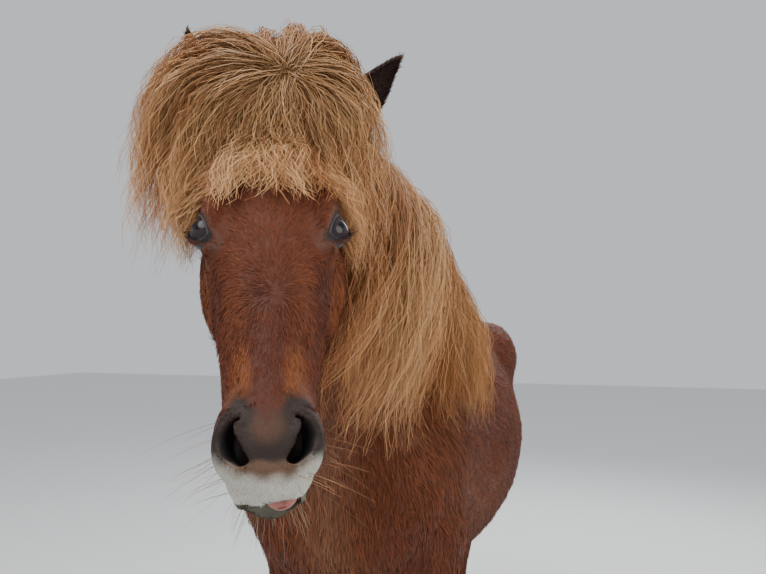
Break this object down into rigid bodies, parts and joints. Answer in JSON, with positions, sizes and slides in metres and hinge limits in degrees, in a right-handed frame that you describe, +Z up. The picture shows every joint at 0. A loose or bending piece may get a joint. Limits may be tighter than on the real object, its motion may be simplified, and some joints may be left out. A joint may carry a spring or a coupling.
{
  "type": "icelandic horse",
  "caption": "Life-size Icelandic horse in winter coat, standing with its head turned to its left, thick forelock and mane, lips parted and tongue tip showing.",
  "frame": {"origin": "centre of the footprint box, at floor level under the soles", "axes": "+Z up, -Y the way the body faces, +X the horse's own left"},
  "size_m": [0.5968, 2.1758, 1.71],
  "materials": {
    "coat": "thick chestnut winter coat",
    "hair": "long wavy flaxen hair",
    "ear": "short dark brown fur",
    "eye": "wet, dark blue-brown",
    "tongue": "moist pink",
    "hoof": "dull horn"
  },
  "bodies": {
    "root": {"torso": "coat", "neck": "coat", "head": "coat", "ear_left": "ear", "ear_right": "ear", "eye_left": "eye", "eye_right": "eye", "tongue": "tongue", "foreleg_left": "coat", "foreleg_right": "coat", "hindleg_left": "coat", "hindleg_right": "coat", "hoof_fore_left": "hoof", "hoof_fore_right": "hoof", "hoof_hind_left": "hoof", "hoof_hind_right": "hoof", "tail": "hair"}
  },
  "joints": []
}
